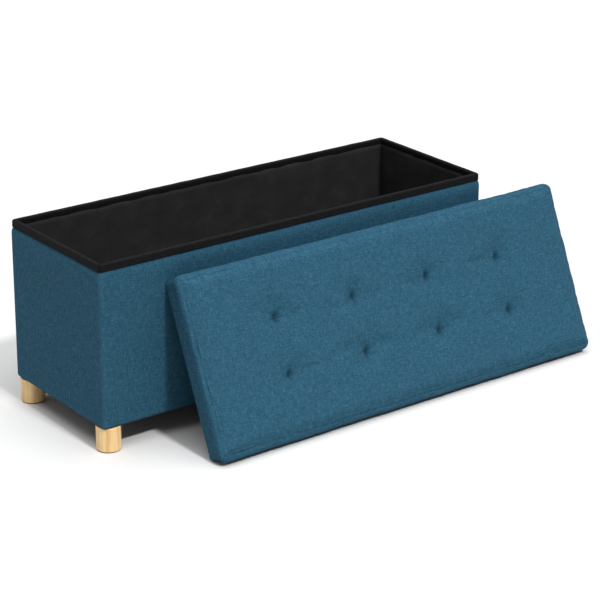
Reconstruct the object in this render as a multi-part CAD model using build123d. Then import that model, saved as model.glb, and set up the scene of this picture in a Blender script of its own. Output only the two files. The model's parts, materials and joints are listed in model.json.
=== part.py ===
"""Storage bench: an upholstered box on four wooden legs, with a padded cap lid that lifts right off.

The lid stands on the floor on its front edge and leans against the front of the box.
Millimetres, +Z up. The origin is on the floor, at the middle of the whole arrangement's footprint.
"""

import math
import os

from build123d import *

# ---- driving dimensions of the box ----
BOX_LENGTH = 1072.0
BOX_DEPTH = 372.0
BODY_HEIGHT = 380.0
BODY_BOTTOM = 62.0
COVER = 1.5
LINING = 1.5
WALL_BOARD = 7.0
BASE_BOARD = 12.0
BOTTOM_CLOTH = 1.0
RIM_BAND = 17.0
BOX_CORNER = 6.0

# ---- driving dimensions of the legs and their plates ----
LEG_RADIUS = 28.0
LEG_INSET_X = 23.5
LEG_INSET_Y = 22.0
LEG_EDGE_ROUND = 2.0
PAD_RADIUS = 25.0
PAD_THICKNESS = 2.0
PLATE_LENGTH = 64.0
PLATE_WIDTH = 54.0
PLATE_THICKNESS = 3.5
PLATE_SETBACK = 1.0
PLATE_CORNER = 8.0
COLLAR_RADIUS = 6.5
COLLAR_HEIGHT = 8.0
COLLAR_CLEARANCE = 0.5
BOLT_RADIUS = 4.0
BOLT_IN_LEG = 26.0
SCREW_RADIUS = 2.0
SCREW_LENGTH = 13.0
SCREW_HEAD_RADIUS = 4.0
SCREW_HEAD_HEIGHT = 2.4
SCREW_INSET = 8.0

# ---- driving dimensions of the lid, in its own frame: length X, width Y, open rim at Z = 0 ----
LID_LENGTH = 1100.0
LID_WIDTH = 406.0
LID_HEIGHT = 56.0
LID_RECESS = 21.0
LID_BOARD = 9.0
SKIRT_BOARD = 8.0
LID_CORNER = 10.0
LID_BOARD_CORNER = 7.5
TUFT_PITCH_X = 218.0
TUFT_PITCH_Y = 130.0
TUFTS_LONG = 4
TUFTS_WIDE = 2
TUFT_DEPTH = 10.0
THREAD_RADIUS = 0.7
THREAD_SPREAD = 2.0
SLOT_CLEARANCE = 0.5
WASHER_RADIUS = 11.0
WASHER_THICKNESS = 1.5
WASHER_POCKET = 4.5

# ---- staples ----
STAPLE_WIRE = 1.2
STAPLE_CROWN = 11.0
CORNER_PRONG = 20.0
BASE_PRONG = 25.0
LID_PRONG = 20.0

# ---- how the lid stands ----
LEAN_FROM_VERTICAL = 24.4
LID_OFFSET_X = 178.0
LEAN_GAP = 0.3

# ---- worked-out levels and half sizes ----
TOP = BODY_BOTTOM + BODY_HEIGHT
BAND_BOTTOM = TOP - RIM_BAND
CLOTH_TOP = BODY_BOTTOM + BOTTOM_CLOTH
BASE_TOP = CLOTH_TOP + BASE_BOARD
WALL = COVER + WALL_BOARD + LINING
HALF_L = BOX_LENGTH / 2
HALF_D = BOX_DEPTH / 2
BOARD_CORNER = BOX_CORNER - COVER
PLATE_BOTTOM = BODY_BOTTOM - PLATE_THICKNESS
SKIRT_WALL = COVER + SKIRT_BOARD + LINING
LINING_TOP = LID_RECESS + LINING
LID_BOARD_TOP = LINING_TOP + LID_BOARD
FOAM_TOP = LID_HEIGHT - COVER
HALF_LID = LID_LENGTH / 2

LEAN = math.radians(LEAN_FROM_VERTICAL)
LID_EDGE_Y = -HALF_D - LEAN_GAP - LID_WIDTH * math.sin(LEAN)
X_LOW = -HALF_L + LEG_INSET_X - LEG_RADIUS
X_HIGH = LID_OFFSET_X + HALF_LID
Y_LOW = LID_EDGE_Y - LID_HEIGHT * math.cos(LEAN)
Y_HIGH = HALF_D - LEG_INSET_Y + LEG_RADIUS
MIDDLE = (-(X_LOW + X_HIGH) / 2, -(Y_LOW + Y_HIGH) / 2)

BOX_PLACE = Location((MIDDLE[0], MIDDLE[1], 0))
LID_PLACE = Location(
    (MIDDLE[0] + LID_OFFSET_X, MIDDLE[1] + LID_EDGE_Y, 0),
    (90 - LEAN_FROM_VERTICAL, 0, 0),
)

SIDES_X = {"left": -1, "right": 1}
SIDES_Y = {"front": -1, "rear": 1}


def slab(x0, x1, y0, y1, z0, z1):
    """A plain block between two opposite corners."""
    block = Box(abs(x1 - x0), abs(y1 - y0), z1 - z0)
    return Pos((x0 + x1) / 2, (y0 + y1) / 2, (z0 + z1) / 2) * block


def rounded_slab(half_x, half_y, z0, z1, radius):
    """A block centred on the vertical axis, with its upright edges rounded."""
    return Pos(0, 0, z0) * extrude(RectangleRounded(2 * half_x, 2 * half_y, radius), z1 - z0)


def prism(corners, z0, z1):
    """An upright prism over an outline with straight sides."""
    return Pos(0, 0, z0) * extrude(make_face(Polyline(*corners, close=True)), z1 - z0, dir=(0, 0, 1))


def by_side(ring, half_x, half_y, reach, z0, z1):
    """A rectangular ring of material parted at its corners' diagonals, as one piece for each side."""
    inner_x = half_x - reach
    inner_y = half_y - reach
    pieces = {}
    for side, s in SIDES_Y.items():
        outer = [(-half_x, s * half_y), (half_x, s * half_y)]
        inner = [(inner_x, s * inner_y), (-inner_x, s * inner_y)]
        pieces[side] = ring & prism(outer + inner, z0, z1)
    for side, s in SIDES_X.items():
        outer = [(s * half_x, -half_y), (s * half_x, half_y)]
        inner = [(s * inner_x, inner_y), (s * inner_x, -inner_y)]
        pieces[side] = ring & prism(outer + inner, z0, z1)
    return pieces


def rod(x, y, z0, z1, radius):
    """An upright cylinder between two levels."""
    return Pos(x, y, z0) * Cylinder(radius, z1 - z0, align=(Align.CENTER, Align.CENTER, Align.MIN))


def spread(count, reach):
    """Evenly spaced positions from -reach to reach."""
    return [-reach + 2 * reach * i / (count - 1) for i in range(count)]


def save(name, place, *solids):
    """Moves the solids from their own frame to the shared one and writes them as one node."""
    placed = [place * solid for solid in solids]
    shape = placed[0] if len(placed) == 1 else Compound(children=placed)
    export_step(shape, f"parts/{name}.step")


def cut(solid, tools):
    """The solid without any of the tools that could reach it."""
    box = solid.bounding_box()
    for tool in tools:
        other = tool.bounding_box()
        apart = (
            other.min.X > box.max.X
            or other.max.X < box.min.X
            or other.min.Y > box.max.Y
            or other.max.Y < box.min.Y
            or other.min.Z > box.max.Z
            or other.max.Z < box.min.Z
        )
        if not apart:
            solid = solid - tool
    return solid


def staple(at, along, into, prong):
    """A square-wire staple: its crown's outer face is centred at a point, its prongs go into the wood."""
    frame = Plane(origin=at, x_dir=along, z_dir=into)
    half = STAPLE_CROWN / 2
    crown = slab(-half, half, -STAPLE_WIRE / 2, STAPLE_WIRE / 2, 0, STAPLE_WIRE)
    left = slab(-half, STAPLE_WIRE - half, -STAPLE_WIRE / 2, STAPLE_WIRE / 2, 0, prong)
    right = slab(half - STAPLE_WIRE, half, -STAPLE_WIRE / 2, STAPLE_WIRE / 2, 0, prong)
    return frame.location * (crown + left + right)


# ---- staples that hold the box's boards together ----
def panel_staples():
    """Four staples through each corner of the long walls, and a row up through the base into every wall."""
    made = []
    board_x = HALF_L - COVER
    board_y = HALF_D - COVER
    mid_x = board_x - WALL_BOARD / 2
    mid_y = board_y - WALL_BOARD / 2
    corner_x = board_x - BOARD_CORNER - STAPLE_WIRE / 2
    for sy in SIDES_Y.values():
        for sx in SIDES_X.values():
            for z in (BASE_TOP + 45, BASE_TOP + 135, BASE_TOP + 225, BASE_TOP + 315):
                made.append(staple((sx * corner_x, sy * board_y, z), (0, 0, 1), (0, -sy, 0), CORNER_PRONG))
        for x in spread(6, HALF_L - 100):
            made.append(staple((x, sy * mid_y, CLOTH_TOP), (1, 0, 0), (0, 0, 1), BASE_PRONG))
    for sx in SIDES_X.values():
        for y in spread(2, HALF_D - 95):
            made.append(staple((sx * mid_x, y, CLOTH_TOP), (0, 1, 0), (0, 0, 1), BASE_PRONG))
    return made


# ---- the four corners: leg, pad, plate, screws and hanger bolt ----
def corner_axis(sx, sy):
    """Where a leg's axis stands."""
    return sx * (HALF_L - LEG_INSET_X), sy * (HALF_D - LEG_INSET_Y)


def plate_middle(sx, sy):
    """The middle of a leg plate."""
    return (
        sx * (HALF_L - PLATE_SETBACK - PLATE_LENGTH / 2),
        sy * (HALF_D - PLATE_SETBACK - PLATE_WIDTH / 2),
    )


def plate_screw_places(sx, sy):
    """The four screws of a leg plate, near the plate's corners."""
    mx, my = plate_middle(sx, sy)
    dx = PLATE_LENGTH / 2 - SCREW_INSET
    dy = PLATE_WIDTH / 2 - SCREW_INSET
    return [(mx + i * dx, my + j * dy) for i in (-1, 1) for j in (-1, 1)]


def plate_screw(x, y):
    """A countersunk wood screw, its flat head flush with the underside of the plate."""
    head = Pos(x, y, PLATE_BOTTOM) * Cone(
        SCREW_HEAD_RADIUS, SCREW_RADIUS, SCREW_HEAD_HEIGHT, align=(Align.CENTER, Align.CENTER, Align.MIN)
    )
    shank = rod(x, y, PLATE_BOTTOM + SCREW_HEAD_HEIGHT, PLATE_BOTTOM + SCREW_LENGTH, SCREW_RADIUS)
    return head + shank


def hanger_bolt(sx, sy):
    """A headless bolt, half in the leg and half in the plate's collar."""
    x, y = corner_axis(sx, sy)
    return rod(x, y, PLATE_BOTTOM - BOLT_IN_LEG, BODY_BOTTOM + COLLAR_HEIGHT, BOLT_RADIUS)


def collar_hole(sx, sy):
    """The clearance hole for a plate's collar, in the bottom cloth and the base board."""
    x, y = corner_axis(sx, sy)
    return rod(x, y, BODY_BOTTOM, BODY_BOTTOM + COLLAR_HEIGHT + 1, COLLAR_RADIUS + COLLAR_CLEARANCE)


def leg_plate(sx, sy, screws, bolt):
    """A flat plate with rounded corners and a threaded collar that stands up into the base board."""
    mx, my = plate_middle(sx, sy)
    outline = RectangleRounded(PLATE_LENGTH, PLATE_WIDTH, PLATE_CORNER)
    flat = Pos(mx, my, PLATE_BOTTOM) * extrude(outline, PLATE_THICKNESS)
    x, y = corner_axis(sx, sy)
    collar = rod(x, y, BODY_BOTTOM, BODY_BOTTOM + COLLAR_HEIGHT, COLLAR_RADIUS)
    return cut(flat + collar, [*screws, bolt])


def leg(sx, sy, bolt):
    """A turned wooden leg with rounded rims, bored for its hanger bolt."""
    x, y = corner_axis(sx, sy)
    body = rod(x, y, PAD_THICKNESS, PLATE_BOTTOM, LEG_RADIUS)
    rims = body.edges().filter_by(GeomType.CIRCLE)
    return fillet(rims, LEG_EDGE_ROUND) - bolt


def leg_pad(sx, sy):
    """A round felt pad under the leg."""
    x, y = corner_axis(sx, sy)
    return rod(x, y, 0, PAD_THICKNESS, PAD_RADIUS)


# ---- the box's boards, covers, linings and rim ----
def wall_boards():
    """Two long walls with two end walls between them, standing on the base board."""
    x = HALF_L - COVER
    y = HALF_D - COVER
    top = TOP - LINING
    outline = rounded_slab(x, y, BASE_TOP, top, BOARD_CORNER)
    boards = {}
    for side, s in SIDES_Y.items():
        board = slab(-x, x, s * y, s * (y - WALL_BOARD), BASE_TOP, top)
        boards[f"{side}_wall_board"] = board & outline
    for side, s in SIDES_X.items():
        inner = y - WALL_BOARD
        boards[f"{side}_wall_board"] = slab(s * x, s * (x - WALL_BOARD), -inner, inner, BASE_TOP, top)
    return boards


def wall_covers():
    """Woven covers on the outside of the four walls, up to the lower edge of the rim binding."""
    ring = rounded_slab(HALF_L, HALF_D, BODY_BOTTOM, BAND_BOTTOM, BOX_CORNER)
    ring -= rounded_slab(HALF_L - COVER, HALF_D - COVER, BODY_BOTTOM, BAND_BOTTOM, BOARD_CORNER)
    sides = by_side(ring, HALF_L, HALF_D, WALL, BODY_BOTTOM, BAND_BOTTOM)
    return {f"{side}_cover": cover for side, cover in sides.items()}


def wall_linings():
    """Black linings on the inside of the walls, and one on the base board."""
    x = HALF_L - WALL
    y = HALF_D - WALL
    floor_top = BASE_TOP + LINING
    linings = {"floor_lining": slab(-x - LINING, x + LINING, -y - LINING, y + LINING, BASE_TOP, floor_top)}
    for side, s in SIDES_Y.items():
        outer = s * (y + LINING)
        linings[f"{side}_lining"] = slab(-x - LINING, x + LINING, outer, s * y, floor_top, BAND_BOTTOM)
    for side, s in SIDES_X.items():
        outer = s * (x + LINING)
        linings[f"{side}_lining"] = slab(outer, s * x, -y, y, floor_top, BAND_BOTTOM)
    return linings


def rim_bindings():
    """Binding folded over the rim of each wall, mitred at the corners."""
    inner_x = HALF_L - WALL
    inner_y = HALF_D - WALL
    groove_top = TOP - LINING
    ring = rounded_slab(HALF_L, HALF_D, BAND_BOTTOM, TOP, BOX_CORNER)
    ring -= slab(-inner_x, inner_x, -inner_y, inner_y, BAND_BOTTOM, TOP)
    groove = rounded_slab(HALF_L - COVER, HALF_D - COVER, BAND_BOTTOM, groove_top, BOARD_CORNER)
    lined_x = inner_x + LINING
    lined_y = inner_y + LINING
    groove -= slab(-lined_x, lined_x, -lined_y, lined_y, BAND_BOTTOM, groove_top)
    sides = by_side(ring - groove, HALF_L, HALF_D, WALL, BAND_BOTTOM, TOP)
    return {f"{side}_rim_binding": binding for side, binding in sides.items()}


# ---- the lid ----
def tuft_places():
    """The middle of each tuft, in the lid's frame."""
    xs = [(i - (TUFTS_LONG - 1) / 2) * TUFT_PITCH_X for i in range(TUFTS_LONG)]
    ys = [LID_WIDTH / 2 + (j - (TUFTS_WIDE - 1) / 2) * TUFT_PITCH_Y for j in range(TUFTS_WIDE)]
    return [(x, y) for x in xs for y in ys]


def tuft_levels():
    """The centres of the thread loop's lower and upper bends."""
    washer_bottom = LINING_TOP + WASHER_POCKET - WASHER_THICKNESS
    loop_top = LID_HEIGHT - TUFT_DEPTH - THREAD_SPREAD - THREAD_RADIUS
    return washer_bottom, loop_top


def tuft_thread(x, y):
    """A closed loop of thread: two strands with a bend above the pad and one round the washer."""
    low, high = tuft_levels()
    straight = high - low
    outline = Plane(origin=(x, y, (low + high) / 2), x_dir=(0, 0, 1), z_dir=(0, 1, 0))
    path = outline * SlotCenterToCenter(straight, 2 * THREAD_SPREAD)
    start = Plane(origin=(x + THREAD_SPREAD, y, (low + high) / 2), z_dir=(0, 0, 1))
    return sweep(start * Circle(THREAD_RADIUS), path=path.wire())


def tuft_washer(x, y):
    """A round washer with one hole for each strand."""
    low, _ = tuft_levels()
    disc = rod(x, y, low, low + WASHER_THICKNESS, WASHER_RADIUS)
    for side in (-1, 1):
        hole_x = x + side * THREAD_SPREAD
        disc -= rod(hole_x, y, low, low + WASHER_THICKNESS, THREAD_RADIUS + SLOT_CLEARANCE)
    return disc


def tuft_holes():
    """Slots for the threads through board, foam and cover."""
    outline = SlotCenterToCenter(2 * THREAD_SPREAD, 2 * (THREAD_RADIUS + SLOT_CLEARANCE))
    return [Pos(x, y, LINING_TOP) * extrude(outline, LID_HEIGHT - LINING_TOP) for x, y in tuft_places()]


def washer_pockets():
    """Pockets for the washers in the underside of the lid board."""
    radius = WASHER_RADIUS + SLOT_CLEARANCE
    return [rod(x, y, LINING_TOP, LINING_TOP + WASHER_POCKET, radius) for x, y in tuft_places()]


def lid_staples():
    """Staples down through the edge of the lid board into the skirt boards."""
    made = []
    mid = COVER + SKIRT_BOARD / 2
    for y in (mid, LID_WIDTH - mid):
        for x in spread(6, HALF_LID - 60):
            made.append(staple((x, y, LID_BOARD_TOP), (1, 0, 0), (0, 0, -1), LID_PRONG))
    for x in (mid - HALF_LID, HALF_LID - mid):
        for y in (LID_WIDTH / 2 - 110, LID_WIDTH / 2 + 110):
            made.append(staple((x, y, LID_BOARD_TOP), (0, 1, 0), (0, 0, -1), LID_PRONG))
    return made


def lid_block(inset, z0, z1, radius):
    """A block over the lid's outline, drawn in from its edge, with rounded upright corners."""
    block = rounded_slab(HALF_LID - inset, LID_WIDTH / 2 - inset, z0, z1, radius)
    return Pos(0, LID_WIDTH / 2, 0) * block


def skirt_rows():
    """For each side of the lid, its outer face and the direction inwards, on Y or X."""
    return (
        {"front": (0.0, 1), "rear": (LID_WIDTH, -1)},
        {"left": (-HALF_LID, 1), "right": (HALF_LID, -1)},
    )


def skirt_boards():
    """Four boards under the edge of the lid board, the end ones between the long ones."""
    boards = {}
    rows_y, rows_x = skirt_rows()
    end = HALF_LID - COVER
    outline = lid_block(COVER, COVER, LINING_TOP, LID_BOARD_CORNER)
    for side, (face, inward) in rows_y.items():
        y0 = face + inward * COVER
        y1 = y0 + inward * SKIRT_BOARD
        boards[f"lid_{side}_skirt_board"] = slab(-end, end, y0, y1, COVER, LINING_TOP) & outline
    for side, (face, inward) in rows_x.items():
        x0 = face + inward * COVER
        x1 = x0 + inward * SKIRT_BOARD
        reach = (COVER + SKIRT_BOARD, LID_WIDTH - COVER - SKIRT_BOARD)
        boards[f"lid_{side}_skirt_board"] = slab(x0, x1, *reach, COVER, LINING_TOP)
    return boards


def skirt_linings():
    """Black linings on the inner faces of the skirt."""
    linings = {}
    rows_y, rows_x = skirt_rows()
    end = HALF_LID - COVER - SKIRT_BOARD
    for side, (face, inward) in rows_y.items():
        y0 = face + inward * (COVER + SKIRT_BOARD)
        linings[f"lid_{side}_skirt_lining"] = slab(-end, end, y0, y0 + inward * LINING, COVER, LID_RECESS)
    for side, (face, inward) in rows_x.items():
        x0 = face + inward * (COVER + SKIRT_BOARD)
        linings[f"lid_{side}_skirt_lining"] = slab(
            x0, x0 + inward * LINING, SKIRT_WALL, LID_WIDTH - SKIRT_WALL, COVER, LID_RECESS
        )
    return linings


def boxing_strips():
    """Woven strips round the lid's edge, each turned in under the skirt and mitred at the corners."""
    upright = lid_block(0, 0, FOAM_TOP, LID_CORNER)
    upright -= lid_block(COVER, COVER, FOAM_TOP, LID_BOARD_CORNER)
    turned = lid_block(0, 0, COVER, LID_CORNER)
    turned -= slab(SKIRT_WALL - HALF_LID, HALF_LID - SKIRT_WALL, SKIRT_WALL, LID_WIDTH - SKIRT_WALL, 0, COVER)
    ring = Pos(0, -LID_WIDTH / 2, 0) * (upright + turned)
    sides = by_side(ring, HALF_LID, LID_WIDTH / 2, SKIRT_WALL, 0, FOAM_TOP)
    return {f"lid_{side}_boxing": Pos(0, LID_WIDTH / 2, 0) * strip for side, strip in sides.items()}


def lid_panels():
    """The lid board, its underside lining, the foam pad and the woven top panel."""
    recess = (COVER + SKIRT_BOARD, LID_WIDTH - COVER - SKIRT_BOARD)
    lining_x = HALF_LID - COVER - SKIRT_BOARD
    holes = tuft_holes()
    board = lid_block(COVER, LINING_TOP, LID_BOARD_TOP, LID_BOARD_CORNER)
    foam = lid_block(COVER, LID_BOARD_TOP, FOAM_TOP, LID_BOARD_CORNER)
    cover = lid_block(0, FOAM_TOP, LID_HEIGHT, LID_CORNER)
    return {
        "lid_board": cut(board, [*holes, *washer_pockets(), *lid_staples()]),
        "lid_underside_lining": slab(-lining_x, lining_x, *recess, LID_RECESS, LINING_TOP),
        "lid_foam": cut(foam, holes),
        "lid_top_cover": cut(cover, holes),
    }


def build_box():
    """Writes every node of the box."""
    corners = [(fx, fy, sx, sy) for fy, sy in SIDES_Y.items() for fx, sx in SIDES_X.items()]
    staples = panel_staples()
    screws = [plate_screw(x, y) for _, _, sx, sy in corners for x, y in plate_screw_places(sx, sy)]
    bolts = {(sx, sy): hanger_bolt(sx, sy) for _, _, sx, sy in corners}
    holes = [collar_hole(sx, sy) for _, _, sx, sy in corners]

    for name, board in wall_boards().items():
        save(name, BOX_PLACE, cut(board, staples))
    for group in (wall_covers(), wall_linings(), rim_bindings()):
        for name, solid in group.items():
            save(name, BOX_PLACE, solid)

    x = HALF_L - COVER
    y = HALF_D - COVER
    base = rounded_slab(x, y, CLOTH_TOP, BASE_TOP, BOARD_CORNER)
    cloth = rounded_slab(x, y, BODY_BOTTOM, CLOTH_TOP, BOARD_CORNER)
    save("base_board", BOX_PLACE, cut(base, [*staples, *screws, *holes]))
    save("bottom_cloth", BOX_PLACE, cut(cloth, [*screws, *holes]))
    save("panel_staples", BOX_PLACE, *staples)
    save("plate_screws", BOX_PLACE, *screws)
    save("hanger_bolts", BOX_PLACE, *bolts.values())

    for fx, fy, sx, sy in corners:
        name = f"{fy}_{fx}"
        bolt = bolts[sx, sy]
        save(f"{name}_leg_plate", BOX_PLACE, leg_plate(sx, sy, screws, bolt))
        save(f"{name}_leg", BOX_PLACE, leg(sx, sy, bolt))
        save(f"{name}_leg_pad", BOX_PLACE, leg_pad(sx, sy))


def build_lid():
    """Writes every node of the lid."""
    staples = lid_staples()
    for name, solid in lid_panels().items():
        save(name, LID_PLACE, solid)
    for name, board in skirt_boards().items():
        save(name, LID_PLACE, cut(board, staples))
    for group in (skirt_linings(), boxing_strips()):
        for name, solid in group.items():
            save(name, LID_PLACE, solid)
    save("lid_staples", LID_PLACE, *staples)
    save("tuft_threads", LID_PLACE, *[tuft_thread(x, y) for x, y in tuft_places()])
    save("tuft_washers", LID_PLACE, *[tuft_washer(x, y) for x, y in tuft_places()])


os.makedirs("parts", exist_ok=True)
build_box()
build_lid()
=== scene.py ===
import json
import math

import bpy
import numpy as np
from mathutils import Matrix, Vector


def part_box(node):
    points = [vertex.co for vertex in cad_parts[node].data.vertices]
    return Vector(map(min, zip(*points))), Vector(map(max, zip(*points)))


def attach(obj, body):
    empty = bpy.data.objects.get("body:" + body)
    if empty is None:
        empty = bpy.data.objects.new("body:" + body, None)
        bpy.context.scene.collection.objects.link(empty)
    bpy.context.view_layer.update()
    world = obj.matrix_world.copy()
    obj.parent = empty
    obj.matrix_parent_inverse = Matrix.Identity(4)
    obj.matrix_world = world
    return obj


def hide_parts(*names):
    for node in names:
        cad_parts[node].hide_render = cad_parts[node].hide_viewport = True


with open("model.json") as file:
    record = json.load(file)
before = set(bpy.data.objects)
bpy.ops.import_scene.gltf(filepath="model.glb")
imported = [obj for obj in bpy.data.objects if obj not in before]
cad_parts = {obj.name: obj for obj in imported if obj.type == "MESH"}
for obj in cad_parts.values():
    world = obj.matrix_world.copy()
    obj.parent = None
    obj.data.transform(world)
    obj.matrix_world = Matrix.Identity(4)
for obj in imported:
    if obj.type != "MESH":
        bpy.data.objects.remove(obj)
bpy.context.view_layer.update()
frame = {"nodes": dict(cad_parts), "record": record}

MM = 0.001
FULL_TURN = 2 * math.pi

# ---- sizes of the cloth work, in metres ----
CLOTH = 1.2 * MM
THIN_CLOTH = 0.8 * MM
BOX_CORNER = 6 * MM
LID_CORNER = 10 * MM
PADDED_CORNER = 15 * MM
SEAM_INSET = 9 * MM
SEAM_CORNER = 7 * MM
EDGE_FALL = 2.8 * MM
FRONT_SAG = 3.0 * MM
CORNER_TURNS = 8
STITCH_PITCH = 3.6 * MM
LEAN_FROM_VERTICAL = math.radians(24.4)

# ---- the tufts, as the CAD has them ----
TUFTS_LONG = 4
TUFTS_WIDE = 2
WASHER_RADIUS = 11 * MM
TUFT_LEVEL = 45.2 * MM

# ---- the cloth simulation of the lid's cap ----
SIM_STEP = 9.5 * MM
SIM_FRAMES = 20
MOST_LIFT = 6 * MM

# ---- the camera, at the photograph's angle ----
CAMERA_AZIMUTH = math.radians(-37.06)
CAMERA_ELEVATION = math.radians(21.38)
CAMERA_ROLL = math.radians(0.226)
CAMERA_DISTANCE = 5.0
CAMERA_TARGET_FROM_BOX = Vector((0.1076, -0.0404, 0.1685))
CAMERA_LENS = 125.6

SIDES = ("front", "right", "rear", "left")


# ---- Materials ----
class Look:
    """One material, with short calls for building its nodes.

    Its space is the object's own, or for a woven one, metres across and along the cut piece of cloth.
    """

    def __init__(self, name, woven=False):
        self.material = bpy.data.materials.new(name)
        self.material.use_nodes = True
        self.nodes = self.material.node_tree.nodes
        self.nodes.clear()
        self.shader = self.node("BsdfPrincipled")
        self.node("OutputMaterial", Surface=self.shader.outputs["BSDF"])
        if woven:
            node = self.node("UVMap")
            node.uv_map = "weave"
            self.space = node.outputs["UV"]
        else:
            self.space = self.node("TexCoord").outputs["Object"]

    def put(self, target, value):
        """Joins a socket to another one, or gives it a value."""
        if isinstance(value, bpy.types.NodeSocket):
            self.material.node_tree.links.new(value, target)
        else:
            target.default_value = value

    def node(self, kind, **inputs):
        """A node of one kind, with its inputs joined or set by name."""
        node = self.nodes.new("ShaderNode" + kind)
        for name, value in inputs.items():
            self.put(node.inputs[name.replace("_", " ")], value)
        return node

    def finish(self, **values):
        """Sets the shader's own sockets and gives the material."""
        for name, value in values.items():
            self.put(self.shader.inputs[name.replace("_", " ")], value)
        return self.material

    def at(self, scale, offset=(0, 0, 0)):
        """Where a texture is read, at one scale all ways or at a tuple's scale along each axis."""
        if not isinstance(scale, tuple):
            return {"Vector": self.space, "Scale": scale}
        mapping = self.node("Mapping", Vector=self.space, Scale=scale, Location=offset)
        return {"Vector": mapping.outputs["Vector"], "Scale": 1.0}

    def noise(self, scale, detail=2.0, rough=0.5, bend=0.0, offset=(0, 0, 0)):
        node = self.node("TexNoise", **self.at(scale, offset), Detail=detail, Roughness=rough)
        self.put(node.inputs["Distortion"], bend)
        return node.outputs["Fac"]

    def cells(self, scale):
        """The way to the middle of the nearest cell."""
        return self.node("TexVoronoi", **self.at(scale)).outputs["Distance"]

    def waves(self, *pitches):
        """Sine waves across and along the cloth, with a half wave to each pitch."""
        scale = (math.pi / pitches[0], math.pi / pitches[-1], 1)
        axes = self.node("SeparateXYZ", Vector=self.at(scale)["Vector"]).outputs
        return [self.math("SINE", axis) for axis in axes[: len(pitches)]]

    def math(self, operation, a, b=0.0):
        node = self.node("Math")
        node.operation = operation
        self.put(node.inputs[0], a)
        self.put(node.inputs[1], b)
        return node.outputs[0]

    def times(self, a, b):
        return self.math("MULTIPLY", a, b)

    def blend(self, *parts):
        """The sum of (value, share) pairs."""
        total, *others = [self.times(value, share) for value, share in parts]
        for other in others:
            total = self.math("ADD", total, other)
        return total

    def remap(self, value, low, high, to_low, to_high):
        node = self.node("MapRange", Value=value, From_Min=low, From_Max=high, To_Min=to_low, To_Max=to_high)
        return node.outputs["Result"]

    def ramp(self, value, *stops):
        """A colour ramp from (place, red, green, blue) stops."""
        node = self.node("ValToRGB", Fac=value)
        elements = node.color_ramp.elements
        while len(elements) < len(stops):
            elements.new(0.5)
        for element, stop in zip(elements, stops):
            element.position = stop[0]
            element.color = (*stop[1:], 1.0)
        return node.outputs["Color"]

    def mix(self, amount, a, b, blend="MIX"):
        node = self.node("Mix")
        node.data_type = "RGBA"
        node.blend_type = blend
        colours = [s for s in node.inputs if s.type == "RGBA"]
        for socket, value in zip((node.inputs[0], *colours), (amount, a, b)):
            self.put(socket, value)
        return [s for s in node.outputs if s.type == "RGBA"][0]

    def tinted(self, colour, mark, share, tint):
        """The colour, turned towards a tint where the mark is set, by that share at most."""
        return self.mix(self.times(mark, share), colour, (*tint, 1))

    def marked(self, colour, seam_and_shade_share, seam_and_shade_tint, wear_share, wear_tint):
        """The colour of a cloth, with the tints of its seam marks, which on the linen also carry painted
        shade, and its wear marks.
        """
        colour = self.tinted(colour, self.attribute("seam"), seam_and_shade_share, seam_and_shade_tint)
        return self.tinted(colour, self.attribute("wear"), wear_share, wear_tint)

    def attribute(self, name):
        node = self.node("Attribute")
        node.attribute_name = name
        return node.outputs["Fac"]

    def bump(self, height, distance, strength=1.0, normal=None):
        node = self.node("Bump", Height=height, Distance=distance, Strength=strength)
        if normal is not None:
            self.put(node.inputs["Normal"], normal)
        return node.outputs["Normal"]


def plain_weave(look, pitch):
    """Height of a plain weave, from 0 to 1."""
    across, along = look.waves(pitch, pitch)
    over = look.remap(look.times(across, along), -1, 1, 0, 1)
    under = look.math("SUBTRACT", 1.0, over)
    warp = look.times(look.math("ABSOLUTE", across), over)
    weft = look.times(look.math("ABSOLUTE", along), under)
    return look.math("MAXIMUM", warp, weft)


def crossed_threads(look, along, across, offsets, detail=2, rough=0.5):
    """Streaks of noise along the weft and along the warp, in equal shares."""
    weft = look.noise((along, across, 1), detail, rough, offset=offsets[0])
    warp = look.noise((across, along, 1), detail, rough, offset=offsets[1])
    return look.blend((weft, 0.5), (warp, 0.5))


def linen_look():
    """Petrol blue linen-look cloth: a melange of lighter and darker slubby threads both ways."""
    look = Look("linen", woven=True)
    height = plain_weave(look, 0.95 * MM)
    threads = crossed_threads(look, 85, 950, ((0, 0, 0), (9, 4, 2)), 3, 0.62)
    slubs = crossed_threads(look, 60, 430, ((3, 8, 5), (7, 1, 9)))
    longs = crossed_threads(look, 17, 520, ((5, 2, 7), (1, 6, 3)))
    tone = look.blend((threads, 0.48), (slubs, 0.30), (longs, 0.22))
    colour = look.ramp(
        tone,
        (0.39, 0.008, 0.041, 0.074),
        (0.47, 0.017, 0.071, 0.118),
        (0.525, 0.027, 0.095, 0.148),
        (0.61, 0.054, 0.148, 0.208),
    )
    patches = look.remap(look.noise(9, 3), 0.3, 0.7, 0.975, 1.025)
    # painted shade: the low gaps between the threads are darkened
    painted_gap_shade = look.remap(height, 0.05, 0.7, 0.80, 1.06)
    shade = look.times(patches, painted_gap_shade)
    shade = look.node("CombineXYZ", X=shade, Y=shade, Z=shade).outputs[0]
    colour = look.mix(1.0, colour, shade, "MULTIPLY")
    rubbed = look.remap(tone, 0.4, 0.65, 0.1, 0.5)
    # the seam tint also paints shade into the tuft hollows, the creases, the turned-under hem and the tuck
    # under the rim binding
    colour = look.marked(colour, 0.80, (0.007, 0.031, 0.055), rubbed, (0.085, 0.215, 0.300))
    fuzz = look.noise((1900, 1900, 1))
    normal = look.bump(slubs, 1.4 * MM, 0.8)
    normal = look.bump(look.math("ADD", height, look.times(fuzz, 0.4)), 0.35 * MM, 0.6, normal)
    return look.finish(
        Base_Color=colour,
        Roughness=look.remap(tone, 0.3, 0.7, 0.93, 0.80),
        Specular_IOR_Level=0.08,
        Sheen_Weight=0.01,
        Sheen_Tint=(0.30, 0.65, 0.85, 1),
        Normal=normal,
    )


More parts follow.
